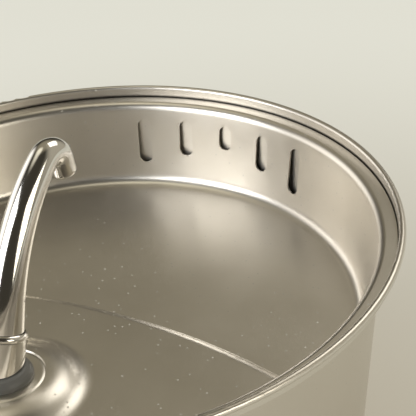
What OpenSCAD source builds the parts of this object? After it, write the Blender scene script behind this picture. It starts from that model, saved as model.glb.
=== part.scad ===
/* [Tank] */
// Diameter over the rolled bead at the rim
tank_d = 200; // [194:1:210]
// Height of the flat seat that the tray hangs on, above the table
seat_h = 110.5; // [108.5:0.5:112.5]
// Wall radius of the tank just under the flared rim
tank_wall_r = 92.6; // [92.4:0.1:92.9]
// How far the tank wall narrows for each millimetre of depth
tank_taper = 0.12; // [0.1:0.01:0.13]
// Thickness of the drawn steel sheet
sheet = 0.5; // [0.45:0.05:0.6]

/* [Tray] */
// Outer radius of the tray's flange
flange_r = 97.4; // [97:0.1:97.5]
// Inner radius of the tray wall at the flange
tray_wall_r = 91.45; // [91:0.05:91.5]
// How far the tray wall narrows for each millimetre of depth
tray_taper = 0.174; // [0.15:0.002:0.2]
// Depth from the flange down to the drinking floor
tray_depth = 28.8; // [27:0.2:30]
// Rise of the platform that carries the spout
platform_rise = 2.5; // [2:0.1:3]
// Radius of the curved edge of the platform, along its top
platform_edge_r = 213; // [200:1:230]

/* [Slots] */
// Width of the overflow slots
slot_w = 4.8; // [4.4:0.1:5.2]
// Angle between neighbouring slots
slot_pitch = 9.85; // [9:0.05:11]
// Depth of the slots' tops below the flange
slot_top = 5.5; // [5:0.1:6.5]
// Length of the two outer slots
slot_long = 15.9; // [14:0.1:17]
// Length of the two slots between
slot_medium = 12.6; // [11:0.1:13.5]
// Length of the middle slot
slot_short = 8.5; // [7:0.1:10]

/* [Spout] */
// Distance of the spout's base from the middle of the bowl
spout_y = 40.5; // [40:0.5:42]
// Lean of the neck where it leaves the grommet
neck_lean = 20.1; // [18:0.1:21]
// Outer radius of the tube at the collar
tube_base_r = 6; // [5.8:0.1:6.2]
// Outer radius of the tube at the outlet
tube_tip_r = 4; // [3.8:0.1:4.2]
// Wall of the tube
tube_wall = 0.9; // [0.8:0.1:1]
// Outer radius of the collar
collar_r = 6.5; // [6.4:0.1:6.8]

/* [Pump] */
// Height of the rotor shaft above the table
rotor_z = 29; // [29:0.5:30]
// Number of blades on the impeller
blades = 6; // [4:1:8]
// Outer radius of the impeller
impeller_r = 9.6; // [9:0.1:10]
// Outer radius of the hose
hose_r = 6.6; // [6.4:0.1:7]

/* [Filter] */
// Half of the filter box's width
box_hw = 33; // [32:0.5:34]
// Height of the filter box above the table
box_top = 42; // [42:0.5:43]
// Pitch of the grille's slots
grille_pitch = 6; // [5:0.5:7]

/* [Hidden] */
$fn = 48;
eps = 0.05;

// Heights, all above the table
flange_z = seat_h + sheet;
floor_z = flange_z - tray_depth;
platform_z = floor_z + platform_rise;
tank_floor_z = 2;
tank_floor_top = tank_floor_z + sheet;

// Rim
bead_r = 1.1;
bead_ring_r = tank_d / 2 - bead_r;
bead_z = flange_z + 2.7;
rim_in_r = tank_d / 2 - 2 * bead_r;

// Radius of the tank's outside and of the tray's inside at a height
function tank_r(z) = tank_wall_r - tank_taper * (flange_z - 6 - z);
function tray_r(z) = tray_wall_r - tray_taper * (flange_z - z);

// Points along an arc, by centre, radius and the two end angles
function arc(c, r, a0, a1, n = 8) =
    [for (i = [0:n]) [c[0] + r * cos(a0 + (a1 - a0) * i / n), c[1] + r * sin(a0 + (a1 - a0) * i / n)]];

// ---- Tank -------------------------------------------------------------

draft = atan(tank_taper);
corner_r = 12;
corner_z = tank_floor_z + corner_r;
corner_c = tank_r(corner_z - corner_r * sin(draft)) - corner_r * cos(draft);
flare_r = 3.4;
flare_z = seat_h - sheet - flare_r;

// One side of the drawn sheet; inset is its distance in from the outside.
// A shallow ring is pressed up in the base to stiffen it
function tank_side(inset) = concat(
    [for (p = [[0, 0], [38, 0], [39.4, 1], [45, 1], [46.4, 0]]) [p[0], tank_floor_z + p[1] + inset]],
    arc([corner_c, corner_z], corner_r - inset, -90, -draft, 10),
    arc([tank_r(flare_z) + flare_r, flare_z], flare_r + inset, 180, 90, 8),
    [[rim_in_r + sheet - inset, seat_h - sheet + inset]]
);

module tank_wall() {
    rotate_extrude($fn = 120)
        polygon(concat(tank_side(0), [for (i = [len(tank_side(sheet)) - 1:-1:0]) tank_side(sheet)[i]]));
    // upright rim above the seat, with the bead rolled out at its top
    rotate_extrude($fn = 120)
        translate([rim_in_r, seat_h - sheet]) square([sheet, bead_z - seat_h + sheet]);
    rotate_extrude($fn = 120) translate([bead_ring_r, bead_z]) circle(bead_r, $fn = 32);
}

cable_z = 73;
cable_hole_r = 5.2;

module tank() {
    color("silver") difference() {
        tank_wall();
        translate([0, tank_r(cable_z) - 6, cable_z]) rotate([-90, 0, 0])
            cylinder(r = cable_hole_r, h = 12);
    }
}

// Silicone ring stretched over the base, with a groove that makes a lip each side
module base_ring() {
    color("dimgray") rotate_extrude($fn = 120) polygon([
        [50, 0.6], [51, 0], [55, 0], [56, 0.8], [59, 0.8], [60, 0], [64, 0], [65, 0.6],
        [65, tank_floor_z], [50, tank_floor_z]
    ]);
}

// Bush for the lead: a plug with a flange on each side, relieved to fit the slope of the wall
module cable_grommet() {
    outside = tank_r(cable_z);
    color("dimgray") difference() {
        translate([0, outside - 4, cable_z]) rotate([-90, 0, 0]) {
            cylinder(r1 = 6.4, r2 = 7.2, h = 1);
            translate([0, 0, 1]) cylinder(r = 7.2, h = 3.6);
            translate([0, 0, 4.6]) cylinder(r1 = 7.2, r2 = 6.2, h = 1);
        }
        // the wall's own sheet, all but the plug in its hole
        difference() {
            wall_band(cable_z - 10, cable_z + 10);
            translate([0, outside - 6, cable_z]) rotate([-90, 0, 0])
                cylinder(r = cable_hole_r - 0.02, h = 12);
        }
        translate([0, outside - 6, cable_z]) rotate([-90, 0, 0]) cylinder(r = 2.4, h = 10);
    }
}

// The wall's sheet between two heights
module wall_band(z0, z1) {
    in_off = sheet + 0.02;
    rotate_extrude($fn = 120) polygon([
        [tank_r(z0) - in_off, z0], [tank_r(z0) + 0.02, z0], [tank_r(z1) + 0.02, z1], [tank_r(z1) - in_off, z1]
    ]);
}

// ---- Tray -------------------------------------------------------------

cove_r = 4;
lip_fillet = 3;
cove_c = tray_r(floor_z + cove_r) - cove_r;
boss_r = 26.3;
boss_turn = 41.2;
boss_foot_r = 8.2;
boss_dome_r = 12;
boss_dish = 0.3;
boss_hole_r = 8.05;
boss_sweep = boss_foot_r + boss_dome_r;
boss_rim_z = platform_z + boss_sweep * (1 - cos(boss_turn)) - boss_dish;

// One side of the pressed sheet, from the middle of the floor out to the flange
function tray_side(drop) = concat(
    [[0, floor_z - drop]],
    arc([cove_c, floor_z + cove_r], cove_r + drop, -90, -9, 7),
    arc([tray_r(flange_z) + lip_fillet, flange_z - lip_fillet], lip_fillet - drop, 171, 90, 6)
);

// Everything inside one side of the sheet, up to the flange
module tray_form(drop) {
    rotate_extrude($fn = 120) polygon(concat(tray_side(drop), [[0, flange_z]]));
}

// Outline that eases up from a foot at the base to a top, with the two arcs tangent;
// run is measured out from the top's end, and inset shrinks it by the sheet's thickness
function easing(top_r, base, foot, dome, turn) =
    let (sweep = foot + dome, run = sweep * sin(turn), dome_z = base + foot - sweep * cos(turn))
    concat(
        [[0, base - 1.5], [top_r + run, base - 1.5]],
        arc([top_r + run, base + foot], foot, -90, -90 - turn, 6),
        arc([top_r, dome_z], dome, 90 - turn, 90, 7)
    );

// The platform's edge: where the centre of its curve lies, and the two arcs of its slope
edge_x = -13;
edge_apex_y = -2.5;
edge_foot_r = 1.5;
edge_dome_r = 6;
edge_turn = acos(1 - platform_rise / (edge_foot_r + edge_dome_r));
side_cove_r = 3;

module at_edge() { translate([edge_x, platform_edge_r + edge_apex_y, 0]) children(); }

// Block under the spout's side of the bowl, up to the platform
module spout_side(inset, reach) {
    intersection() {
        at_edge() rotate_extrude($fn = 240) polygon(concat(
            easing(platform_edge_r, floor_z - inset, edge_foot_r + inset, edge_dome_r - inset, edge_turn),
            [[0, platform_z - inset]]
        ));
        cylinder(r = reach, h = 200, $fn = 120);
    }
}

// Cove where the platform meets the wall, fading out down the platform's edge
module side_cove() {
    cove_x = tray_r(platform_z + side_cove_r) - side_cove_r;
    height = platform_rise + side_cove_r + 2;
    intersection() {
        rotate_extrude($fn = 120) polygon(concat(
            [[cove_x, floor_z]],
            arc([cove_x, platform_z + side_cove_r], side_cove_r, -90, -9, 6),
            [[tray_r(platform_z) + 2, platform_z + side_cove_r + 1], [tray_r(platform_z) + 2, floor_z]]
        ));
        at_edge() translate([0, 0, floor_z - 1])
            cylinder(r1 = platform_edge_r + 6, r2 = platform_edge_r - 1.5, h = height, $fn = 240);
    }
}

// Domed boss round the spout, filled, with a groove round its seat for the grommet
module boss_form(inset) {
    sweep_r = boss_sweep * sin(boss_turn);
    top_r = boss_r - sweep_r;
    top_z = boss_rim_z + boss_dish - inset;
    rotate_extrude($fn = 96) polygon(concat(
        easing(top_r, platform_z - inset, boss_foot_r + inset, boss_dome_r - inset, boss_turn),
        [
            [top_r - 0.35, top_z - 0.4], [top_r - 0.8, top_z - 0.1], [top_r - 1.6, top_z - 0.05],
            [9.6, boss_rim_z - inset], [0, boss_rim_z - inset]
        ]
    ));
}

module slot(len) {
    z_mid = flange_z - slot_top - len / 2;
    half = len / 2 - slot_w / 2;
    translate([0, -tray_wall_r - 4, z_mid]) rotate([-90, 0, 0]) {
        translate([0, half, 0]) cylinder(r = slot_w / 2, h = 12);
        translate([0, -half, 0]) cylinder(r = slot_w / 2, h = 12);
        translate([-slot_w / 2, -half, 0]) cube([slot_w, 2 * half, 12]);
    }
}

module tray() {
    lengths = [slot_long, slot_medium, slot_short, slot_medium, slot_long];
    color("gainsboro") difference() {
        union() {
            difference() {
                union() {
                    tray_form(sheet);
                    translate([0, 0, flange_z - sheet]) cylinder(r = flange_r, h = sheet, $fn = 120);
                }
                difference() {
                    translate([0, 0, eps]) tray_form(0);
                    spout_side(0, cove_c + cove_r + 2);
                    side_cove();
                }
            }
            translate([0, spout_y, 0]) boss_form(0);
        }
        // the sheet is pressed up, so the underside follows the platform and the boss
        spout_side(sheet, cove_c + 1);
        translate([0, spout_y, 0]) boss_form(sheet);
        translate([0, spout_y, 0]) cylinder(r = boss_hole_r, h = 200);
        for (i = [0:4]) rotate([0, 0, (i - 2) * slot_pitch]) slot(lengths[i]);
    }
}

// ---- Spout ------------------------------------------------------------

spigot_r = 4.6;
neck_z = floor_z + 8;
collar_foot_z = floor_z + 10.8;
grommet_top = collar_foot_z - 0.25;
neck_in = 5.8;
neck_start = [neck_in * sin(neck_lean), neck_z + neck_in * cos(neck_lean)];

// Stopper of soft silicone that fills the boss and grips the spigot
module spout_grommet() {
    color("slategray") translate([0, spout_y, 0]) difference() {
        rotate_extrude($fn = 64) polygon([
            [0, boss_rim_z - 6], [7.5, boss_rim_z - 6], [boss_hole_r - 0.06, boss_rim_z - 1.5],
            [boss_hole_r - 0.06, boss_rim_z], [9.3, boss_rim_z], [9.4, boss_rim_z + 0.7],
            [9.1, boss_rim_z + 1.5], [8.5, boss_rim_z + 2.3], [7.7, grommet_top - 0.3],
            [7, grommet_top], [0, grommet_top]
        ]);
        cylinder(r = spigot_r + 0.06, h = 200);
    }
}

// Centre line of the tube: straight neck, two easy bends, the crook and a straight outlet.
// Each piece is [length, radius or 0 when straight, angle turned]
neck_len = 14.3;
bends = [[75.9, 19.9], [59, 17.4], [5.1, 113.5]];
tip_len = 4.6;
tube_path = concat(
    [[neck_len, 0, 0]],
    [for (b = bends) [b[0] * b[1] * PI / 180, b[0], b[1]]],
    [[tip_len, 0, 0]]
);
tube_steps = [3, 7, 4, 13, 3];

// Place [forward, height, heading, distance run] at s along one piece, from its start
function along(start, piece, s) =
    let (r = piece[1], a = start[2], t = r == 0 ? 0 : s / r * 180 / PI)
    r == 0
        ? [start[0] + s * sin(a), start[1] + s * cos(a), a, start[3] + s]
        : [start[0] + r * (cos(a) - cos(a + t)), start[1] + r * (sin(a + t) - sin(a)), a + t, start[3] + s];

function start_of(i) = i == 0
    ? [neck_start[0], neck_start[1], neck_lean, 0]
    : along(start_of(i - 1), tube_path[i - 1], tube_path[i - 1][0]);

tube_stations = concat(
    [start_of(0)],
    [for (i = [0:len(tube_path) - 1]) for (k = [1:tube_steps[i]])
        along(start_of(i), tube_path[i], tube_path[i][0] * k / tube_steps[i])]
);
tube_rings = len(tube_stations);
tube_sides = 28;
tube_len = tube_stations[tube_rings - 1][3];

// Radius falls evenly from the collar to the tip
function tube_radius(i) = tube_base_r + (tube_tip_r - tube_base_r) * tube_stations[i][3] / tube_len;

function ring(i, r) =
    let (s = tube_stations[i])
    [for (k = [0:tube_sides - 1])
        let (a = 360 * k / tube_sides)
        [r * cos(a), -s[0] - r * sin(a) * cos(s[2]), s[1] - r * sin(a) * sin(s[2])]];

// Skin of quads between rings; the bore is wound the other way
function band(first, n, flip) =
    [for (i = [0:n - 2]) for (k = [0:tube_sides - 1])
        let (a = first + i * tube_sides, b = a + tube_sides, j = (k + 1) % tube_sides)
        flip ? [a + k, b + k, b + j, a + j] : [a + k, a + j, b + j, b + k]];

module bent_tube() {
    outer = [for (i = [0:tube_rings - 1]) each ring(i, tube_radius(i))];
    inner = [for (i = [0:tube_rings - 1]) each ring(i, tube_radius(i) - tube_wall)];
    n = len(outer);
    last = n - tube_sides;
    ends = [for (k = [0:tube_sides - 1]) let (j = (k + 1) % tube_sides) each [
        [k, n + k, n + j, j],
        [last + k, last + j, n + last + j, n + last + k]
    ]];
    polyhedron(
        points = concat(outer, inner),
        faces = concat(band(0, tube_rings, false), band(n, tube_rings, true), ends),
        convexity = 6
    );
}

module spout_tube() {
    color("white") translate([0, spout_y, 0]) bent_tube();
}

// Moves into the leaning frame of the neck
module on_neck() {
    translate([0, spout_y, neck_z]) rotate([neck_lean, 0, 0]) children();
}

// Sleeve at the foot of the tube: cut level at its foot, with a rounded ring at its top
ring_s = 12.2;
module spout_collar() {
    color("silver") difference() {
        on_neck() union() {
            cylinder(r = collar_r, h = ring_s, $fn = 64);
            rotate_extrude($fn = 64) translate([collar_r - 1, ring_s]) circle(1.4, $fn = 32);
        }
        on_neck() translate([0, 0, -5]) cylinder(r = tube_base_r + 0.02, h = 30, $fn = 64);
        translate([0, spout_y, collar_foot_z - 20]) cylinder(r = 20, h = 20);
    }
}

spigot_low = 68;
seal_z = 72;
seal_r = 0.65;

// Plug that carries the tube: upright in the grommet, leaning inside the neck
module spout_spigot() {
    color("dimgray") difference() {
        union() {
            translate([0, spout_y, spigot_low + 1])
                cylinder(r = spigot_r, h = collar_foot_z - spigot_low);
            translate([0, spout_y, spigot_low]) cylinder(r1 = spigot_r - 0.8, r2 = spigot_r, h = 1);
            // leaning plug, with a shoulder that the tube stands on
            difference() {
                on_neck() {
                    cylinder(r = tube_base_r - 0.02, h = neck_in - 0.02);
                    translate([0, 0, 2]) cylinder(r = tube_base_r - tube_wall - 0.25, h = 8);
                }
                translate([0, spout_y, collar_foot_z - 20]) cylinder(r = 20, h = 20);
            }
        }
        translate([0, spout_y, spigot_low - 1]) cylinder(r = 2.4, h = neck_z - spigot_low + 1);
        on_neck() translate([0, 0, -1.2]) cylinder(r = 2.5, h = 14);
        // groove for the seal
        translate([0, spout_y, seal_z - seal_r - 0.1]) difference() {
            cylinder(r = spigot_r + 1, h = 2 * seal_r + 0.2);
            cylinder(r = spigot_r - 1.3, h = 2 * seal_r + 0.2);
        }
    }
}

// Ring that makes the plug tight in the hose
module spigot_seal() {
    color("black") translate([0, spout_y, seal_z]) rotate_extrude()
        translate([spigot_r + 0.02 - seal_r, 0]) circle(seal_r, $fn = 24);
}

hose_low = 44;
hose_high = 82;

module outlet_hose() {
    color("whitesmoke") translate([0, spout_y, hose_low]) difference() {
        cylinder(r = hose_r, h = hose_high - hose_low);
        translate([0, 0, -1]) cylinder(r = spigot_r + 0.08, h = 60);
    }
}

// ---- Pump -------------------------------------------------------------

plate_z = 6.8;
plate_t = 1.6;
pump_z = plate_z + plate_t;
pump_top = 42;
pump_hw = 18;
pump_front = 34;
pump_back = 72;
well_r = 6.6;
well_back = 67;
clip_y = 55;
clip_z = pump_z - 0.1;
chamber_r = 11.5;
chamber_back = 46;

module along_y(y) { translate([0, y, rotor_z]) rotate([-90, 0, 0]) children(); }

// Block with upright rounded corners
module rounded_block(hw, y0, y1, z0, z1, r) {
    translate([0, 0, z0]) linear_extrude(z1 - z0) hull()
        for (x = [-hw + r, hw - r], y = [y0 + r, y1 - r]) translate([x, y]) circle(r, $fn = 32);
}

module stator_room(gap) {
    difference() {
        translate([-15.6 + gap, 48.5 + gap, 10.4 + gap])
            cube([31.2 - 2 * gap, 20 - 2 * gap, 29.2 - 2 * gap]);
        along_y(40) cylinder(r = well_r + 1.2 + gap, h = 40);
    }
}

module pump_body() {
    color("gray") difference() {
        union() {
            rounded_block(pump_hw, pump_front, pump_back, pump_z, pump_top - 1.5, 4);
            rounded_block(pump_hw - 1.5, pump_front + 1.5, pump_back - 1.5, pump_z, pump_top, 3);
            // outlet nozzle with a barb for the hose
            translate([0, spout_y, pump_top - 1]) cylinder(r = spigot_r, h = 12);
            // cooling ribs down the back
            for (x = [-12, -4, 4, 12]) translate([x - 0.8, pump_back - 0.5, pump_z + 4])
                cube([1.6, 1.5, 18]);
        }
        along_y(pump_front - 1) cylinder(r = chamber_r, h = chamber_back - pump_front + 1);
        along_y(pump_front) cylinder(r = well_r, h = well_back - pump_front);
        translate([0, spout_y, rotor_z]) cylinder(r = 3.2, h = 40);
        stator_room(0);
        // grooves for the clips of the housing
        for (side = [-1, 1]) translate([side * pump_hw - 0.6, clip_y - 4.4, clip_z + 4.4])
            cube([1.2, 8.8, 1.5]);
        // opening the sealed stator is filled through
        translate([-11, 60, pump_z - 1]) cube([22, 7, 4]);
    }
}

// Plate bonded over the opening that the stator is loaded through
module pump_back_plug() {
    color("gray") translate([-10.9, 60.1, pump_z]) cube([21.8, 6.8, 1.9]);
}

cover_y = 28.4;
slider_hh = 5.8;

// Front of the volute: a plug with a ring of intake holes, and rails for the slider
module volute_cover() {
    color("darkgray") difference() {
        union() {
            along_y(cover_y) cylinder(r = 12.4, h = 5.5);
            along_y(33) cylinder(r = chamber_r - 0.1, h = 3.4);
            for (side = [-1, 1]) translate([-9.6, 0, rotor_z]) {
                translate([0, cover_y - 2.9, side * (slider_hh + 1) - 0.7]) cube([16.2, 3, 1.4]);
                translate([0, cover_y - 2.9, side * (slider_hh + 0.4) - 1.2]) cube([16.2, 0.9, 2.4]);
            }
        }
        for (i = [0:5]) along_y(cover_y - 1) rotate([0, 0, 60 * i]) translate([4.9, 0, 0])
            cylinder(r = 1.7, h = 20);
        along_y(31.4) cylinder(r = 2.5, h = 10);
        along_y(33.8) difference() {
            cylinder(r = chamber_r + 1, h = 1.6);
            cylinder(r = chamber_r - 1.2, h = 1.6);
        }
    }
}

module volute_seal() {
    color("black") along_y(34.6) rotate_extrude() translate([chamber_r - 0.62, 0]) circle(0.56, $fn = 24);
}

// Plate that is pushed sideways over part of the intake to calm the jet
module flow_slider() {
    color("steelblue") translate([0, cover_y - 1.7, rotor_z]) difference() {
        union() {
            translate([-9, 0, -slider_hh]) cube([8.4, 1.4, 2 * slider_hh]);
            translate([-5.6, -0.8, -4]) cube([1.6, 0.9, 8]);
        }
        translate([0, -2, 0]) rotate([-90, 0, 0]) cylinder(r = 3.2, h = 6);
    }
}

// Blades on a hub, driven by the magnet behind
module impeller() {
    color("white") difference() {
        union() {
            along_y(37.4) cylinder(r = 3.4, h = 9.4);
            along_y(44) cylinder(r = 6.1, h = 2.4);
            for (i = [0:blades - 1]) along_y(37.8) rotate([0, 0, i * 360 / blades])
                translate([2.8, -0.55, 0]) cube([impeller_r - 2.8, 1.1, 6.2]);
        }
        along_y(30) cylinder(r = 1.56, h = 40);
    }
}

module rotor_magnet() {
    color("#333333") along_y(46.8) difference() {
        cylinder(r = 6.1, h = 17.2);
        translate([0, 0, -1]) cylinder(r = 1.56, h = 30);
    }
}

module rotor_shaft() {
    color("white") along_y(32) cylinder(r = 1.5, h = 34.8);
}

module shaft_bushes() {
    color("black") {
        along_y(31.5) difference() {
            cylinder(r = 2.48, h = 3.4);
            translate([0, 0, 0.5]) cylinder(r = 1.5, h = 5);
        }
        along_y(64.6) difference() {
            cylinder(r = 3, h = 2.4);
            translate([0, 0, -1]) cylinder(r = 1.5, h = 3.2);
        }
    }
}

// Laminated yoke: two poles hug the rotor well and meet below it
module stator_core() {
    color("dimgray") difference() {
        translate([-14.4, 51.5, 10.8]) cube([28.8, 12, 26]);
        along_y(40) cylinder(r = well_r + 1.4, h = 40);
        translate([-5.6, 50, 15]) cube([11.2, 15, 12]);
        translate([-1.6, 50, 26]) cube([3.2, 15, 20]);
    }
}

module stator_coils() {
    color("chocolate") for (x = [-10, 10]) difference() {
        translate([x - 5.3, 49.6, 15.2]) cube([10.6, 15.8, 4.6]);
        translate([x < 0 ? -14.5 : 5.5, 51.4, 14]) cube([9, 12.2, 8]);
    }
}

// Gland that the lead leaves the pump by
module cable_gland() {
    color("black") translate([0, pump_back, 36]) rotate([-90, 0, 0]) difference() {
        union() {
            cylinder(r = 4, h = 2.4);
            cylinder(r1 = 3.4, r2 = 2.9, h = 3.6);
        }
        translate([0, 0, 1]) cylinder(r = 2.2, h = 6);
    }
}

foot_spots = [[-25, 18], [25, 18], [-13, 62], [13, 62]];
foot_h = plate_z - tank_floor_top;
foot_plug_r = 2;

// Suckers that hold the pump to the tank floor, each with a plug in the plate
module suction_feet() {
    color("whitesmoke") for (p = foot_spots) translate([p[0], p[1], tank_floor_top])
        difference() {
            rotate_extrude($fn = 40) polygon([
                [0, 0], [6.5, 0], [6.5, 0.5], [4, 1.8], [3, 2.4], [3, foot_h],
                [foot_plug_r, foot_h], [foot_plug_r, foot_h + 1.5], [0, foot_h + 1.5]
            ]);
            translate([0, 0, -0.01]) cylinder(r1 = 5.2, r2 = 1.5, h = 1.4, $fn = 40);
        }
}

// ---- Filter -----------------------------------------------------------

box_front = 10.6;
box_back = 31;
box_t = 1.6;
cart_y0 = 12.4;
cart_y1 = 20.2;
cart_hw = 28;
cart_low = pump_z;
cart_high = 43.5;

module grille_slots(y0, depth, z0, z1, n) {
    for (i = [-(n - 1) / 2:(n - 1) / 2]) translate([i * grille_pitch - 1.5, y0, z0])
        cube([3, depth, z1 - z0]);
}

// Moulded housing that joins the filter to the front of the pump
module filter_box() {
    color("lightgray") difference() {
        union() {
            rounded_block(box_hw, box_front, box_back, plate_z, box_top, 2);
            translate([0, 0, plate_z]) linear_extrude(plate_t)
                polygon([[-24, box_back - 2], [24, box_back - 2], [20, pump_back - 2], [-20, pump_back - 2]]);
            // clips with a bead that snaps into the sides of the pump
            for (side = [-1, 1]) translate([side * (pump_hw + 0.9), clip_y - 4, clip_z]) {
                translate([-0.7, 0, 0]) cube([1.4, 8, 6.6]);
                translate([-0.55 - side * 0.55, 0, 4.6]) cube([1.1, 8, 1.1]);
            }
        }
        // room for the cartridge and the foam
        translate([-box_hw + box_t, box_front - 5, pump_z])
            cube([2 * (box_hw - box_t), box_back - box_t - box_front + 5, box_top - box_t - pump_z]);
        // mouth for the front of the volute
        along_y(25) cylinder(r = 12.5, h = 8);
        // slot the cartridge drops through
        translate([-cart_hw - 0.6, cart_y0 - 0.5, box_top - 5])
            cube([2 * cart_hw + 1.2, cart_y1 - cart_y0 + 1, 9]);
        for (p = foot_spots) translate([p[0], p[1], plate_z - 1]) cylinder(r = foot_plug_r + 0.05, h = 4);
    }
}

// Front grille; a frame behind it pushes into the housing
module filter_cover() {
    in_hw = box_hw - box_t - 0.3;
    in_z0 = pump_z + 0.3;
    in_z1 = box_top - box_t - 0.3;
    color("lightgray") difference() {
        union() {
            translate([-in_hw, box_front - 0.2, in_z0]) cube([2 * in_hw, 1.3, in_z1 - in_z0]);
            translate([0, 0, plate_z]) linear_extrude(box_top - plate_z) hull()
                for (x = [-box_hw + 2, box_hw - 2]) translate([x, box_front - 1.7]) circle(1.65, $fn = 24);
            // finger tab
            translate([-8, box_front - 6, box_top - 4]) cube([16, 4, 1.8]);
        }
        grille_slots(box_front - 8, 12, 12, 36, 9);
        translate([-in_hw + 1.4, box_front + 0.1, in_z0 + 1.4])
            cube([2 * in_hw - 2.8, 2, in_z1 - in_z0 - 2.8]);
    }
}

module cartridge_frame() {
    color("white") difference() {
        union() {
            translate([-cart_hw, cart_y0, cart_low])
                cube([2 * cart_hw, cart_y1 - cart_y0, cart_high - cart_low - 2]);
            // pull rim
            translate([-cart_hw + 6, cart_y0 + 2, cart_high - 3]) cube([2 * cart_hw - 12, 3.8, 3]);
        }
        translate([-cart_hw + 1.6, cart_y0 + 1.4, cart_low + 1.6])
            cube([2 * cart_hw - 3.2, cart_y1 - cart_y0 - 2.8, cart_high - cart_low - 6.8]);
        grille_slots(cart_y0 - 1, 12, 13, 37, 8);
    }
}

module carbon_pack() {
    color("#222222") translate([-cart_hw + 1.7, cart_y0 + 1.5, cart_low + 1.7])
        cube([2 * cart_hw - 3.4, cart_y1 - cart_y0 - 3, cart_high - cart_low - 7]);
}

module foam_sheet() {
    color("#3b3b3b") translate([-box_hw + box_t + 0.3, cart_y1 + 0.4, pump_z])
        cube([2 * (box_hw - box_t) - 0.6, 4.6, box_top - box_t - pump_z - 0.6]);
}

tank();
base_ring();
cable_grommet();
tray();
spout_grommet();
spout_tube();
spout_collar();
spout_spigot();
spigot_seal();
outlet_hose();
pump_body();
pump_back_plug();
volute_cover();
volute_seal();
flow_slider();
impeller();
rotor_magnet();
rotor_shaft();
shaft_bushes();
stator_core();
stator_coils();
cable_gland();
suction_feet();
filter_box();
filter_cover();
cartridge_frame();
carbon_pack();
foam_sheet();
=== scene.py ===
import math

import bmesh
import bpy
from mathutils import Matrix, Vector


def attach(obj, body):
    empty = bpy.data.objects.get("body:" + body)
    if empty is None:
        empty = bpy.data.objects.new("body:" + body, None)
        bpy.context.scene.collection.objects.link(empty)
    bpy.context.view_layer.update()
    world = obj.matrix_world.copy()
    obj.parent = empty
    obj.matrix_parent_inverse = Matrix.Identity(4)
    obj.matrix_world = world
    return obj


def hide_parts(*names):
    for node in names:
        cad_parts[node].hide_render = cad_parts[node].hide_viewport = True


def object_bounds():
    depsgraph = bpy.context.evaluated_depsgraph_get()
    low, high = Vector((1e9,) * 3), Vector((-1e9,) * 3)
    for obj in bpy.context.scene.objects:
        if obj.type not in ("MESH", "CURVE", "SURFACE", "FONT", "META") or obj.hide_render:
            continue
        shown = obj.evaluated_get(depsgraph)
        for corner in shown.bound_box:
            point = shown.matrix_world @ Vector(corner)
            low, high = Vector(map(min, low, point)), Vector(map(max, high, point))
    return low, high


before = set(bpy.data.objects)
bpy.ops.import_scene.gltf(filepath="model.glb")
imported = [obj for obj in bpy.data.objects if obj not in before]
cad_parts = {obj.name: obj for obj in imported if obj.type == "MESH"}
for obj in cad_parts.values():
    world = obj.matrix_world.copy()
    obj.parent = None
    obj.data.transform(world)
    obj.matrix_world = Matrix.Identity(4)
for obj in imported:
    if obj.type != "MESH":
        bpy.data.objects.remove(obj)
cad_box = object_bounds()

# ---- Camera -------------------------------------------------------------
# A long lens looks down over the near rim, rolled a little, with the
# slotted side of the tray at the far end of the view.

camera_place = (-0.2388, 0.2802, 0.3369)
camera_turn = (59.0203, 5.1695, -149.1782)  # degrees about x, y and z
film_width = 36  # millimetres, as the lens is
lens_length = 123.12
nearest_seen = 0.01

camera = bpy.data.objects.new("camera", bpy.data.cameras.new("camera"))
bpy.context.scene.collection.objects.link(camera)
camera.location = camera_place
camera.rotation_euler = [math.radians(angle) for angle in camera_turn]
camera.data.sensor_width = film_width
camera.data.lens = lens_length
camera.data.clip_start = nearest_seen
bpy.context.scene.camera = camera
bpy.context.scene.view_settings.view_transform = "Standard"

# ---- Studio -------------------------------------------------------------
# Pale matte paper lies on the floor, painted darker near the bowl as a painted shadow. A broad
# cool window lights the slotted wall, a warm one lights the wall beside it and a third stands
# behind.

floor_half = 4
paper_tones = ((0.68, 0.65, 0.57), (0.72, 0.69, 0.61))
paper_fibres = 900  # per metre
painted_shadow_tone = (0.47, 0.42, 0.325)  # painted shadow: the paper's tone under the bowl
unshadowed_tone = (0.86, 0.86, 0.765)  # and far from it, where no shadow is painted
# the painted shadow fades out between these distances from the bowl's axis
painted_shadow_from, painted_shadow_to = 0.02, 0.42
seen_share = 0.72  # how much of that look the camera sees, over the lit paper
mirrored_share = 0.85  # how much of that share the steel mirrors

first_colour, second_colour, mixed_colour = 6, 7, 2  # a Mix node's colour sockets


def new_material(name):
    material = bpy.data.materials.new(name)
    material.use_nodes = True
    material.node_tree.nodes.clear()
    return material


def node(tree, kind, at=(0, 0), **values):
    """Adds a shader node; keys that aren't its settings are input names."""
    made = tree.nodes.new(kind)
    made.location = at
    for key, value in values.items():
        if key in made.bl_rna.properties:
            setattr(made, key, value)
        else:
            made.inputs[key.replace("_", " ")].default_value = value
    return made


def maths(tree, at, operation, *values):
    """Adds a Math node; a value of None is an input that is linked later."""
    made = node(tree, "ShaderNodeMath", at, operation=operation)
    for socket, value in zip(made.inputs, values):
        if value is not None:
            socket.default_value = value
    return made


def two_tones(tree, at, low, high, low_end=0.0, high_end=1.0):
    """Adds a colour ramp from one colour to another, between its two ends."""
    made = node(tree, "ShaderNodeValToRGB", at)
    first, last = made.color_ramp.elements
    first.position, first.color = low_end, (*low, 1)
    last.position, last.color = high_end, (*high, 1)
    return made


def tint(tree, at, colour, **values):
    """Adds a Mix node that brings in a colour over the one that is linked to it."""
    made = node(tree, "ShaderNodeMix", at, data_type="RGBA", **values)
    made.inputs[second_colour].default_value = (*colour, 1)
    return made


def link(tree, source, target):
    tree.links.new(source, target)


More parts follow.
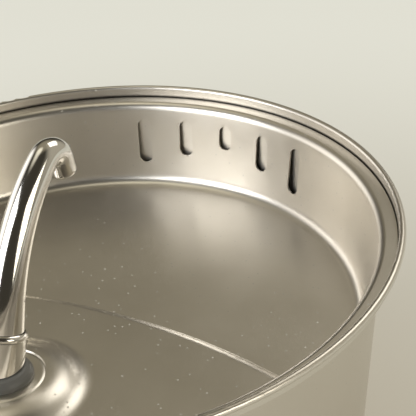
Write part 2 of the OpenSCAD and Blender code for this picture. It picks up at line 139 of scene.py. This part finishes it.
def floor_paper():
    """Material: fibrous paper that shows the camera and the steel a pale tone, painted darker near
    the bowl as a painted shadow.
    """
    material = new_material("floor_paper")
    tree = material.node_tree
    out = node(tree, "ShaderNodeOutputMaterial", (900, 0))
    lit = node(tree, "ShaderNodeBsdfPrincipled", (300, 0), Roughness=0.9)
    pale = node(tree, "ShaderNodeEmission", (300, -300), Strength=1.0)
    blend = node(tree, "ShaderNodeMixShader", (700, 0))
    ray = node(tree, "ShaderNodeLightPath", (0, 500))
    mirrored = maths(tree, (150, 300), "MULTIPLY", None, mirrored_share)
    seen = maths(tree, (300, 400), "MAXIMUM")
    share = maths(tree, (500, 300), "MULTIPLY", None, seen_share)
    place = node(tree, "ShaderNodeTexCoord", (-900, 0))
    fibres = node(tree, "ShaderNodeTexNoise", (-300, 0), Scale=paper_fibres, Detail=4)
    tone = two_tones(tree, (0, 0), *paper_tones)
    away = node(tree, "ShaderNodeVectorMath", (-600, -300), operation="LENGTH")
    # painted shadow: the paper's tone darkens towards the bowl's axis
    sweep = node(
        tree, "ShaderNodeMapRange", (-300, -300), interpolation_type="SMOOTHSTEP",
        From_Min=painted_shadow_from, From_Max=painted_shadow_to,
    )
    shade = two_tones(tree, (0, -300), painted_shadow_tone, unshadowed_tone)
    link(tree, ray.outputs["Is Glossy Ray"], mirrored.inputs[0])
    link(tree, ray.outputs["Is Camera Ray"], seen.inputs[0])
    link(tree, mirrored.outputs[0], seen.inputs[1])
    link(tree, seen.outputs[0], share.inputs[0])
    link(tree, share.outputs[0], blend.inputs["Fac"])
    link(tree, place.outputs["Object"], fibres.inputs["Vector"])
    link(tree, fibres.outputs["Fac"], tone.inputs["Fac"])
    link(tree, tone.outputs["Color"], lit.inputs["Base Color"])
    link(tree, place.outputs["Object"], away.inputs[0])
    link(tree, away.outputs["Value"], sweep.inputs["Value"])
    link(tree, sweep.outputs["Result"], shade.inputs["Fac"])
    link(tree, shade.outputs["Color"], pale.inputs["Color"])
    link(tree, lit.outputs["BSDF"], blend.inputs[1])
    link(tree, pale.outputs["Emission"], blend.inputs[2])
    link(tree, blend.outputs["Shader"], out.inputs["Surface"])
    return material


floor_mesh = bpy.data.meshes.new("floor")
floor_corners = [
    (x * floor_half, y * floor_half, 0) for x, y in ((-1, -1), (1, -1), (1, 1), (-1, 1))
]
floor_mesh.from_pydata(floor_corners, [], [(0, 1, 2, 3)])
floor_mesh.materials.append(floor_paper())
floor = bpy.data.objects.new("floor", floor_mesh)
bpy.context.scene.collection.objects.link(floor)


def towards(azimuth, elevation):
    """Direction from the bowl, by degrees round it and above the floor."""
    a, e = math.radians(azimuth), math.radians(elevation)
    return Vector((math.cos(a) * math.cos(e), math.sin(a) * math.cos(e), math.sin(e)))


lit_point = Vector((0, 0, 0.1))
window_reach = 1.2


def window(name, azimuth, elevation, wide, high, glow, colour):
    """Soft rectangular lamp that spans wide x high degrees, seen from the bowl, at a glow."""
    data = bpy.data.lights.new(name, "AREA")
    data.shape = "RECTANGLE"
    data.size = 2 * window_reach * math.tan(math.radians(wide / 2))
    data.size_y = 2 * window_reach * math.tan(math.radians(high / 2))
    data.energy = glow * math.pi * data.size * data.size_y
    data.color = colour
    lamp = bpy.data.objects.new(name, data)
    lamp.location = lit_point + towards(azimuth, elevation) * window_reach
    lamp.rotation_euler = (-towards(azimuth, elevation)).to_track_quat("-Z", "Y").to_euler()
    bpy.context.scene.collection.objects.link(lamp)


window("window_main", 60, 27, 38, 46, 4.1, (0.98, 0.985, 1))
window("window_side", 166, 20, 28, 32, 3.0, (1, 0.94, 0.81))
window("window_back", -98, 44, 30, 30, 1.7, (1, 0.97, 0.92))

room_grey = (0.05, 0.045, 0.035)
backdrop_tone = (0.70, 0.70, 0.63)
# patches of light: azimuth, elevation, full within, gone beyond (degrees) and colour
room_patches = [
    (-56, 60, 12, 44, (0.26, 0.233, 0.168)),
    (-130, 18, 22, 60, (0.40, 0.37, 0.30)),
    (6, 8, 12, 37, (1.60, 1.54, 1.45)),
    (10, 72, 2, 20, (0.90, 0.85, 0.70)),
]


def studio_room():
    """World: warm grey with soft patches of light, and a pale backdrop for the camera."""
    world = bpy.data.worlds.new("studio")
    world.use_nodes = True
    tree = world.node_tree
    tree.nodes.clear()
    out = node(tree, "ShaderNodeOutputWorld", (900, 0))
    glow = node(tree, "ShaderNodeBackground", (700, 0), Strength=1.0)
    direction = node(tree, "ShaderNodeTexCoord", (-900, 0))
    light = None
    for i, (azimuth, elevation, full, gone, colour) in enumerate(room_patches):
        row = -200 * i
        facing = node(tree, "ShaderNodeVectorMath", (-600, row), operation="DOT_PRODUCT")
        facing.inputs[1].default_value = towards(azimuth, elevation)
        fade = node(
            tree, "ShaderNodeMapRange", (-400, row), interpolation_type="SMOOTHSTEP",
            From_Min=math.cos(math.radians(gone)), From_Max=math.cos(math.radians(full)),
        )
        patch = tint(tree, (-100 + 150 * i, row), colour, blend_type="ADD")
        link(tree, direction.outputs["Generated"], facing.inputs[0])
        link(tree, facing.outputs["Value"], fade.inputs["Value"])
        link(tree, fade.outputs["Result"], patch.inputs["Factor"])
        if light:
            link(tree, light, patch.inputs[first_colour])
        else:
            patch.inputs[first_colour].default_value = (*room_grey, 1)
        light = patch.outputs[mixed_colour]
    ray = node(tree, "ShaderNodeLightPath", (500, 300))
    backdrop = tint(tree, (550, 0), backdrop_tone)
    link(tree, ray.outputs["Is Camera Ray"], backdrop.inputs["Factor"])
    link(tree, light, backdrop.inputs[first_colour])
    link(tree, backdrop.outputs[mixed_colour], glow.inputs["Color"])
    link(tree, glow.outputs["Background"], out.inputs["Surface"])
    return world


bpy.context.scene.world = studio_room()

# ---- Tank ---------------------------------------------------------------
# Bowl drawn in one piece from stainless sheet, with its rim rolled into a
# bead. The sheet is satin finished: a fine even grain with no direction.

sheet = 0.0005
seat_height = 0.1105
flange_top = seat_height + sheet
rim_radius = round(cad_box[1][0], 4)  # the box is in single precision
bead_radius = 0.0011
bead_rise = 0.0027  # from the tray's flange to the middle of the bead
rim_bead = (rim_radius - bead_radius, flange_top + bead_rise, bead_radius)
rim_inside = rim_radius - 2 * bead_radius

steel_dark = (0.69, 0.655, 0.59)
steel_light = (0.74, 0.705, 0.64)
steel_worn = (0.80, 0.77, 0.71)
wear_width = 0.0003  # narrower than the sheet, so that open faces stay clean


def effect_group(name, given, results):
    """New shader group with its inputs and outputs; returns it with its two end nodes."""
    group = bpy.data.node_groups.new(name, "ShaderNodeTree")
    for label, value in given.items():
        socket = group.interface.new_socket(label, in_out="INPUT", socket_type="NodeSocketFloat")
        socket.default_value = value
    for label, kind in results.items():
        group.interface.new_socket(label, in_out="OUTPUT", socket_type="NodeSocket" + kind)
    start = node(group, "NodeGroupInput", (-900, 0))
    end = node(group, "NodeGroupOutput", (700, 0))
    return group, start, end


grain_height = 0.0002


def surface_grain():
    """Group: fine grain and slow cloudiness, in the piece's own metres."""
    group, given, result = effect_group(
        "surface_grain",
        {"Grain": 1800.0, "Cloud": 14.0, "Roughness": 0.3, "Spread": 0.06, "Relief": 0.1},
        {"Roughness": "Float", "Tone": "Float", "Normal": "Vector"},
    )
    place = node(group, "ShaderNodeTexCoord", (-900, 300))
    fine = node(group, "ShaderNodeTexNoise", (-600, 200), Detail=3.0)
    cloud = node(group, "ShaderNodeTexNoise", (-600, -100), Detail=4.0)
    centred = maths(group, (-450, -100), "SUBTRACT", None, 0.5)
    spread = maths(group, (-300, -100), "MULTIPLY_ADD")
    bump = node(group, "ShaderNodeBump", (-200, 300), Distance=grain_height)
    for texture, scale in ((fine, "Grain"), (cloud, "Cloud")):
        link(group, place.outputs["Object"], texture.inputs["Vector"])
        link(group, given.outputs[scale], texture.inputs["Scale"])
    link(group, cloud.outputs["Fac"], centred.inputs[0])
    link(group, centred.outputs[0], spread.inputs[0])
    link(group, given.outputs["Spread"], spread.inputs[1])
    link(group, given.outputs["Roughness"], spread.inputs[2])
    link(group, fine.outputs["Fac"], bump.inputs["Height"])
    link(group, given.outputs["Relief"], bump.inputs["Strength"])
    link(group, spread.outputs[0], result.inputs["Roughness"])
    link(group, cloud.outputs["Fac"], result.inputs["Tone"])
    link(group, bump.outputs["Normal"], result.inputs["Normal"])
    return group


unworn_lean, worn_lean = 0.998, 0.90  # cosine between a face and its rounded edge
wear_patches = 260.0  # per metre
bare_patch, worn_patch = 0.35, 0.62


def edge_wear():
    """Group: 0 on open faces, rising to 1 within a set width of an edge, broken up by noise."""
    group, given, result = effect_group(
        "edge_wear", {"Width": 0.0006, "Amount": 0.5}, {"Mask": "Float"}
    )
    rounded = node(group, "ShaderNodeBevel", (-700, 200), samples=4)
    here = node(group, "ShaderNodeNewGeometry", (-700, -100))
    alike = node(group, "ShaderNodeVectorMath", (-500, 100), operation="DOT_PRODUCT")
    near = node(
        group, "ShaderNodeMapRange", (-300, 100), From_Min=unworn_lean, From_Max=worn_lean
    )
    place = node(group, "ShaderNodeTexCoord", (-900, -300))
    broken = node(group, "ShaderNodeTexNoise", (-700, -300), Scale=wear_patches, Detail=3.0)
    part = node(
        group, "ShaderNodeMapRange", (-300, -200), From_Min=bare_patch, From_Max=worn_patch
    )
    worn = maths(group, (-100, 0), "MULTIPLY")
    scaled = maths(group, (50, 0), "MULTIPLY")
    link(group, given.outputs["Width"], rounded.inputs["Radius"])
    link(group, rounded.outputs["Normal"], alike.inputs[0])
    link(group, here.outputs["Normal"], alike.inputs[1])
    link(group, alike.outputs["Value"], near.inputs["Value"])
    link(group, place.outputs["Object"], broken.inputs["Vector"])
    link(group, broken.outputs["Fac"], part.inputs["Value"])
    link(group, near.outputs["Result"], worn.inputs[0])
    link(group, part.outputs["Result"], worn.inputs[1])
    link(group, worn.outputs[0], scaled.inputs[0])
    link(group, given.outputs["Amount"], scaled.inputs[1])
    link(group, scaled.outputs[0], result.inputs["Mask"])
    return group


speck_edge, speck_core = 0.11, 0.08  # radius, as a share of the pitch


def fine_specks():
    """Group: sparse round specks of dust, one in a share of the cells of a set pitch."""
    group, given, result = effect_group(
        "fine_specks", {"Pitch": 0.006, "Share": 0.2, "Amount": 0.5}, {"Mask": "Float"}
    )
    place = node(group, "ShaderNodeTexCoord", (-900, 300))
    per_metre = maths(group, (-700, 100), "DIVIDE", 1.0)
    cells = node(group, "ShaderNodeTexVoronoi", (-500, 200))
    dot = node(
        group, "ShaderNodeMapRange", (-300, 300), From_Min=speck_edge, From_Max=speck_core
    )
    chance = node(group, "ShaderNodeSeparateColor", (-300, 0))
    chosen = maths(group, (-100, 0), "LESS_THAN")
    both = maths(group, (50, 150), "MULTIPLY")
    scaled = maths(group, (200, 150), "MULTIPLY")
    link(group, given.outputs["Pitch"], per_metre.inputs[1])
    link(group, place.outputs["Object"], cells.inputs["Vector"])
    link(group, per_metre.outputs[0], cells.inputs["Scale"])
    link(group, cells.outputs["Distance"], dot.inputs["Value"])
    link(group, cells.outputs["Color"], chance.inputs["Color"])
    link(group, chance.outputs["Red"], chosen.inputs[0])
    link(group, given.outputs["Share"], chosen.inputs[1])
    link(group, dot.outputs["Result"], both.inputs[0])
    link(group, chosen.outputs[0], both.inputs[1])
    link(group, both.outputs[0], scaled.inputs[0])
    link(group, given.outputs["Amount"], scaled.inputs[1])
    link(group, scaled.outputs[0], result.inputs["Mask"])
    return group


# painted shade: a near-black tone laid into the joint between the tank's bead and the tray's
# flange
joint_shade_tone = (0.04, 0.037, 0.03)
joint_shade_cover = 0.88


def painted_joint_shade():
    """Group: painted shade inside a radius and above a seat, fading from a low level to a high."""
    group, given, result = effect_group(
        "painted_joint_shade", {"Radius": 0.1, "Seat": 0.1, "Low": 0.101, "High": 0.102}, {"Mask": "Float"}
    )
    place = node(group, "ShaderNodeTexCoord", (-900, 300))
    split = node(group, "ShaderNodeSeparateXYZ", (-700, 100))
    across = node(group, "ShaderNodeVectorMath", (-700, 400), operation="MULTIPLY")
    across.inputs[1].default_value = (1, 1, 0)
    reach = node(group, "ShaderNodeVectorMath", (-500, 400), operation="LENGTH")
    inside = maths(group, (-300, 400), "LESS_THAN")
    depth = node(
        group, "ShaderNodeMapRange", (-300, 100), interpolation_type="SMOOTHSTEP",
        To_Max=joint_shade_cover,
    )
    above = maths(group, (-300, -200), "GREATER_THAN")
    held = maths(group, (0, 0), "MULTIPLY")
    joint_shaded = maths(group, (200, 200), "MULTIPLY")
    link(group, place.outputs["Object"], split.inputs[0])
    link(group, place.outputs["Object"], across.inputs[0])
    link(group, across.outputs["Vector"], reach.inputs[0])
    link(group, reach.outputs["Value"], inside.inputs[0])
    link(group, given.outputs["Radius"], inside.inputs[1])
    link(group, split.outputs["Z"], depth.inputs["Value"])
    link(group, given.outputs["High"], depth.inputs["From Min"])
    link(group, given.outputs["Low"], depth.inputs["From Max"])
    link(group, split.outputs["Z"], above.inputs[0])
    link(group, given.outputs["Seat"], above.inputs[1])
    link(group, depth.outputs["Result"], held.inputs[0])
    link(group, above.outputs[0], held.inputs[1])
    link(group, inside.outputs[0], joint_shaded.inputs[0])
    link(group, held.outputs[0], joint_shaded.inputs[1])
    link(group, joint_shaded.outputs[0], result.inputs["Mask"])
    return group


grain_group = surface_grain()
wear_group = edge_wear()
speck_group = fine_specks()
joint_shade_group = painted_joint_shade()

cloud_from, cloud_to = 0.3, 0.7  # the part of the noise that its two tones span
dust_tone = (0.62, 0.60, 0.55)
dust_roughness = 0.4  # on top of the finish's own
wall_from, wall_full = 0.7, 0.2  # how far the normal points up or down


def finish(
    name, dark, light, worn, metal=0.0, rough=0.4, spread=0.06, grain=1800.0, cloud=14.0,
    relief=0.1, edge=(0.0006, 0.5), specks=(0.0035, 0.15, 0.3), upright=0.0, joint_shade=None, **sockets
):
    """Material: cloudy colour, worn edges, specks of dust, and grain in roughness and relief.
    Edge is (width, amount) of wear, and specks are (pitch, share, amount). Upright walls are
    rougher by the amount that upright gives. A joint shade gives the sizes of a band of painted
    shade in a joint."""
    material = new_material(name)
    tree = material.node_tree
    out = node(tree, "ShaderNodeOutputMaterial", (900, 0))
    bsdf = node(tree, "ShaderNodeBsdfPrincipled", (600, 0), Metallic=metal, **sockets)

    surface = node(
        tree, "ShaderNodeGroup", (-700, 0), node_tree=grain_group,
        Grain=grain, Cloud=cloud, Roughness=rough, Spread=spread, Relief=relief,
    )
    tones = two_tones(tree, (-400, 150), dark, light, cloud_from, cloud_to)
    width, amount = edge
    wear = node(
        tree, "ShaderNodeGroup", (-400, 400), node_tree=wear_group, Width=width, Amount=amount
    )
    rubbed = tint(tree, (-50, 200), worn)
    pitch, share, amount = specks
    dust = node(
        tree, "ShaderNodeGroup", (-400, 600), node_tree=speck_group,
        Pitch=pitch, Share=share, Amount=amount,
    )
    dusty = tint(tree, (200, 200), dust_tone)
    link(tree, surface.outputs["Tone"], tones.inputs["Fac"])
    link(tree, wear.outputs["Mask"], rubbed.inputs["Factor"])
    link(tree, tones.outputs["Color"], rubbed.inputs[first_colour])
    link(tree, dust.outputs["Mask"], dusty.inputs["Factor"])
    link(tree, rubbed.outputs[mixed_colour], dusty.inputs[first_colour])
    coloured = dusty
    # painted shade darkens the colour in a joint, where one is given
    if joint_shade:
        joint_shaded = node(tree, "ShaderNodeGroup", (200, 500), node_tree=joint_shade_group, **joint_shade)
        coloured = tint(tree, (400, 300), joint_shade_tone)
        link(tree, joint_shaded.outputs["Mask"], coloured.inputs["Factor"])
        link(tree, dusty.outputs[mixed_colour], coloured.inputs[first_colour])
    link(tree, coloured.outputs[mixed_colour], bsdf.inputs["Base Color"])

    here = node(tree, "ShaderNodeNewGeometry", (-700, -400))
    parts = node(tree, "ShaderNodeSeparateXYZ", (-550, -400))
    flat = maths(tree, (-400, -400), "ABSOLUTE")
    on_wall = node(
        tree, "ShaderNodeMapRange", (-250, -400), interpolation_type="SMOOTHSTEP",
        From_Min=wall_from, From_Max=wall_full, To_Max=upright,
    )
    total = maths(tree, (0, -200), "ADD")
    matt = maths(tree, (200, -200), "MULTIPLY_ADD", None, dust_roughness)
    link(tree, here.outputs["True Normal"], parts.inputs[0])
    link(tree, parts.outputs["Z"], flat.inputs[0])
    link(tree, flat.outputs[0], on_wall.inputs["Value"])
    link(tree, surface.outputs["Roughness"], total.inputs[0])
    link(tree, on_wall.outputs["Result"], total.inputs[1])
    link(tree, dust.outputs["Mask"], matt.inputs[0])
    link(tree, total.outputs[0], matt.inputs[2])
    link(tree, matt.outputs[0], bsdf.inputs["Roughness"])
    if metal:
        bare = maths(tree, (200, -400), "SUBTRACT", metal)
        link(tree, dust.outputs["Mask"], bare.inputs[1])
        link(tree, bare.outputs[0], bsdf.inputs["Metallic"])
    link(tree, surface.outputs["Normal"], bsdf.inputs["Normal"])
    link(tree, bsdf.outputs["BSDF"], out.inputs["Surface"])
    return material


weld_within = 2e-6
sliver = 1e-7
level_within = math.radians(0.2)
sharp_beyond = math.radians(50)
broad_area = 25e-6
broad_pull = 60  # how much more than a small one a broad face turns the normals
on_bead = 2e-5
no_angle = 9  # given for a face that has no normal, and larger than any angle


def angle_between(face, other):
    return face.normal.angle(other.normal, no_angle)


def level_areas(shape):
    """Index of the level area that each face is in, and the size of each area."""
    area_of = [-1] * len(shape.faces)
    sizes = []
    for start in shape.faces:
        if area_of[start.index] >= 0:
            continue
        area_of[start.index] = len(sizes)
        reached, size = [start], 0
        while reached:
            face = reached.pop()
            size += face.calc_area()
            for edge in face.edges:
                for other in edge.link_faces:
                    if area_of[other.index] < 0 and angle_between(face, other) < level_within:
                        area_of[other.index] = len(sizes)
                        reached.append(other)
        sizes.append(size)
    return area_of, sizes


def smooth_fan(corner):
    """Indices of the faces round a corner that no sharp edge parts from the corner's own."""
    fan, reached = {corner.face.index}, [corner.face]
    while reached:
        face = reached.pop()
        for edge in face.edges:
            if corner.vert not in edge.verts:
                continue
            for other in edge.link_faces:
                if other.index not in fan and angle_between(face, other) < sharp_beyond:
                    fan.add(other.index)
                    reached.append(other)
    return fan


def off_bead(co, bead):
    """How far a point is across and up from the middle of a bead's roll."""
    return math.hypot(co.x, co.y) - bead[0], co.z - bead[1]


def bead_normal(co, bead):
    across, up = off_bead(co, bead)
    out = co.xy.normalized() * across
    return Vector((out.x, out.y, up)).normalized()


def even_normals(shape, bead):
    """A normal for each corner: straight out of the bead, and elsewhere led by the broad faces."""
    area_of, sizes = level_areas(shape)
    normals = []
    for face in shape.faces:
        rolled = bead and all(
            abs(math.hypot(*off_bead(v.co, bead)) - bead[2]) < on_bead for v in face.verts
        )
        for corner in face.loops:
            if rolled:
                normals.append(bead_normal(corner.vert.co, bead))
                continue
            mean = Vector()
            for i in smooth_fan(corner):
                pull = broad_pull if sizes[area_of[i]] > broad_area else 1
                for loop in shape.faces[i].loops:
                    if loop.vert == corner.vert:
                        mean += shape.faces[i].normal * loop.calc_angle() * pull
            normals.append(mean.normalized() if mean.length else face.normal.copy())
    return normals


def evened(name, body, material, bead=None):
    """Copy of a sheet metal node whose small fillets shade as round. A bead is a roll on its
    rim, as (ring radius, height, radius)."""
    shape = bmesh.new()
    shape.from_mesh(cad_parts[name].data)
    bmesh.ops.remove_doubles(shape, verts=shape.verts, dist=weld_within)
    bmesh.ops.dissolve_degenerate(shape, edges=shape.edges, dist=sliver)
    shape.normal_update()
    shape.faces.ensure_lookup_table()
    normals = even_normals(shape, bead)
    mesh = bpy.data.meshes.new(name + "_evened")
    shape.to_mesh(mesh)
    mesh.shade_smooth()
    mesh.normals_split_custom_set(normals)
    mesh.materials.append(material)
    piece = bpy.data.objects.new(name + "_evened", mesh)
    bpy.context.scene.collection.objects.link(piece)
    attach(piece, body)
    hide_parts(name)


# painted shade: the joint between the bead and the flange of the tray is painted dark, where it
# lies in shadow
rim_joint_shade = {
    "Radius": rim_inside + sheet / 2,
    "Seat": seat_height - 0.0008,
    "Low": flange_top + 0.0002,
    "High": flange_top + 0.0011,
}
outer_steel = finish(
    "outer_steel", steel_dark, steel_light, steel_worn,
    metal=1.0, rough=0.31, spread=0.05, relief=0.05, upright=0.10,
    edge=(wear_width, 0.5), specks=(0.0034, 0.6, 0.7), joint_shade=rim_joint_shade,
)
evened("tank", "tank", outer_steel, rim_bead)

# ---- Base ring and lead bush --------------------------------------------
# Moulded from grey silicone: the ring is stretched over the tank's base, and
# the bush is pressed into the hole in the back wall.

grey_silicone = finish(
    "grey_silicone", (0.14, 0.14, 0.132), (0.18, 0.18, 0.17), (0.24, 0.24, 0.23),
    rough=0.42, grain=900, relief=0.25, specks=(0.003, 0.2, 0.35),
)


def dress(material, *names):
    for name in names:
        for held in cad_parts[name].material_slots:
            held.material = material


dress(grey_silicone, "base_ring", "cable_grommet")

# ---- Pump ---------------------------------------------------------------
# Moulded body and volute cover, with the coils sealed in behind a bonded
# plate. The rotor runs on a ceramic shaft that two rubber bushes hold.

dark_plastic = finish(
    "dark_plastic", (0.022, 0.024, 0.027), (0.032, 0.034, 0.037), (0.09, 0.09, 0.09),
    rough=0.42, grain=700, relief=0.35,
)
dress(dark_plastic, "pump_body", "pump_back_plug", "volute_cover")
black_rubber = finish(
    "black_rubber", (0.012, 0.012, 0.012), (0.022, 0.022, 0.022), (0.05, 0.05, 0.05),
    rough=0.6, grain=1200, relief=0.3,
)
dress(black_rubber, "cable_gland", "volute_seal", "shaft_bushes")
blue_plastic = finish(
    "blue_plastic", (0.05, 0.14, 0.27), (0.06, 0.17, 0.31), (0.16, 0.28, 0.40),
    rough=0.4, grain=800, relief=0.2,
)
dress(blue_plastic, "flow_slider")
white_plastic = finish(
    "white_plastic", (0.72, 0.72, 0.69), (0.78, 0.78, 0.75), (0.83, 0.83, 0.80),
    rough=0.4, grain=800, relief=0.2,
)
dress(white_plastic, "impeller")
ferrite = finish(
    "ferrite", (0.025, 0.025, 0.028), (0.05, 0.05, 0.055), (0.12, 0.12, 0.12),
    rough=0.5, grain=2400, relief=0.3,
)
dress(ferrite, "rotor_magnet")
zirconia = finish(
    "zirconia", (0.80, 0.80, 0.77), (0.86, 0.86, 0.83), (0.88, 0.88, 0.86),
    rough=0.15, relief=0.02,
)
dress(zirconia, "rotor_shaft")
core_steel = finish(
    "core_steel", (0.22, 0.22, 0.22), (0.30, 0.30, 0.30), (0.42, 0.42, 0.42),
    metal=1.0, rough=0.45,
)
dress(core_steel, "stator_core")
copper_wire = finish(
    "copper_wire", (0.50, 0.20, 0.08), (0.62, 0.27, 0.12), (0.70, 0.36, 0.18),
    metal=1.0, rough=0.3,
)
dress(copper_wire, "stator_coils")

# ---- Hose and suckers ---------------------------------------------------
# Clear silicone: the hose is pushed over the pump's nozzle, and the four
# suckers clip under the base plate.

clear_silicone = finish(
    "clear_silicone", (0.72, 0.74, 0.70), (0.80, 0.82, 0.78), (0.84, 0.85, 0.82),
    rough=0.32, grain=600, Transmission_Weight=0.45, IOR=1.41,
)
dress(clear_silicone, "outlet_hose", "suction_feet")

# ---- Filter -------------------------------------------------------------
# Moulded housing and grille, a drop-in cartridge of carbon granules and a
# sheet of open foam in front of the pump.

light_plastic = finish(
    "light_plastic", (0.34, 0.36, 0.36), (0.38, 0.40, 0.40), (0.50, 0.52, 0.52),
    rough=0.45, grain=700, relief=0.35,
)
dress(light_plastic, "filter_box", "filter_cover")
dress(white_plastic, "cartridge_frame")
carbon = finish(
    "carbon", (0.008, 0.008, 0.008), (0.03, 0.03, 0.03), (0.05, 0.05, 0.05),
    rough=0.7, grain=700, relief=1.0,
)
dress(carbon, "carbon_pack")
foam = finish(
    "foam", (0.03, 0.032, 0.035), (0.06, 0.062, 0.066), (0.08, 0.08, 0.085),
    rough=0.9, grain=500, relief=1.0,
)
dress(foam, "foam_sheet")

# ---- Drinking tray ------------------------------------------------------
# Pressed from the same stainless sheet, with five overflow slots, a raised
# platform and a domed boss for the spout. Its flange hangs on the seat in
# the tank's rim.

satin_steel = finish(
    "satin_steel", steel_dark, steel_light, steel_worn,
    metal=1.0, rough=0.305, spread=0.07, cloud=40.0, relief=0.08, upright=0.04,
    edge=(wear_width, 0.6), specks=(0.0032, 1.0, 0.9),
)
evened("tray", "tray", satin_steel)

# ---- Spout grommet ------------------------------------------------------
# Soft silicone stopper, moulded in one piece and pushed into the boss. It
# holds the spout upright and lets it turn.

dress(grey_silicone, "spout_grommet")

# ---- Spout --------------------------------------------------------------
# Thin stainless tube, drawn to a taper, bent to a crook and mirror polished,
# with a pressed-on collar, on a plastic spigot with a rubber ring.

MM = 0.001  # the spout's sizes are in millimetres
spout_foot = Vector((0, 40.5, 90.2))
neck_lean = math.radians(20.1)
neck_in = 5.8  # from the foot to the tube's lower end, along the neck
foot_radius, tip_radius = 6.0, 4.0
tube_wall = 0.9
lip_round = 0.1
# each stretch of the tube: straight length, or else bend radius and degrees
tube_bends = ((14.3, 0, 0), (0, 75.9, 19.9), (0, 59, 17.4), (0, 5.1, 113.5), (4.6, 0, 0))
tube_step = 0.6
tube_sides = 64


def tube_line():
    """Centre line as (y forward, z, heading), run along the bends."""
    y = neck_in * math.sin(neck_lean)
    z = neck_in * math.cos(neck_lean)
    heading = neck_lean
    line = [(y, z, heading)]
    for straight, radius, angle in tube_bends:
        turn = math.radians(angle)
        length = straight or radius * turn
        count = max(2, math.ceil(length / tube_step))
        for _ in range(count):
            half = turn / count / 2
            chord = length / count * (math.sin(half) / half if half else 1)
            heading += half
            y += chord * math.sin(heading)
            z += chord * math.cos(heading)
            heading += half
            line.append((y, z, heading))
    return line


def tube_ring(y, z, heading, radius):
    """Points round the tube at one place on its line, in metres."""
    points = []
    for k in range(tube_sides):
        a = 2 * math.pi * k / tube_sides
        forward = -y - radius * math.sin(a) * math.cos(heading)
        up = z - radius * math.sin(a) * math.sin(heading)
        points.append((spout_foot + Vector((radius * math.cos(a), forward, up))) * MM)
    return points


def closed_skin(rings):
    """Quads between rings of points, and from the last ring back to the first."""
    mesh = bmesh.new()
    made = [[mesh.verts.new(p) for p in ring] for ring in rings]
    for low, high in zip(made, made[1:] + made[:1]):
        for k in range(len(low)):
            j = (k + 1) % len(low)
            mesh.faces.new((low[k], low[j], high[j], high[k]))
    bmesh.ops.recalc_face_normals(mesh, faces=mesh.faces)
    return mesh


def swept_tube():
    """The tube's outside from foot to tip, its rounded lip, and its inside back to the foot."""
    line = tube_line()
    run = [0]
    for (y0, z0, _), (y1, z1, _) in zip(line, line[1:]):
        run.append(run[-1] + math.hypot(y1 - y0, z1 - z0))
    outer = [foot_radius + (tip_radius - foot_radius) * length / run[-1] for length in run]
    last = len(line) - 1
    rings = [tube_ring(*line[i], outer[i]) for i in range(last)]
    rings.append(tube_ring(*line[last], outer[last] - lip_round))
    rings.append(tube_ring(*line[last], outer[last] - tube_wall + lip_round))
    rings += [tube_ring(*line[i], outer[i] - tube_wall) for i in range(last - 1, -1, -1)]
    mesh = bpy.data.meshes.new("tube_polished")
    closed_skin(rings).to_mesh(mesh)
    mesh.shade_smooth()
    return bpy.data.objects.new("tube_polished", mesh)


polished_steel = finish(
    "polished_steel", (0.74, 0.72, 0.68), (0.78, 0.76, 0.72), (0.82, 0.80, 0.76),
    metal=1.0, rough=0.11, spread=0.04, relief=0.01,
    edge=(wear_width, 0.3), specks=(0.003, 0.12, 0.25),
)
tube = swept_tube()
bpy.context.scene.collection.objects.link(tube)
tube.data.materials.append(polished_steel)
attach(tube, "spout")
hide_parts("spout_tube")
dress(polished_steel, "spout_collar")
dress(dark_plastic, "spout_spigot")
dress(black_rubber, "spigot_seal")
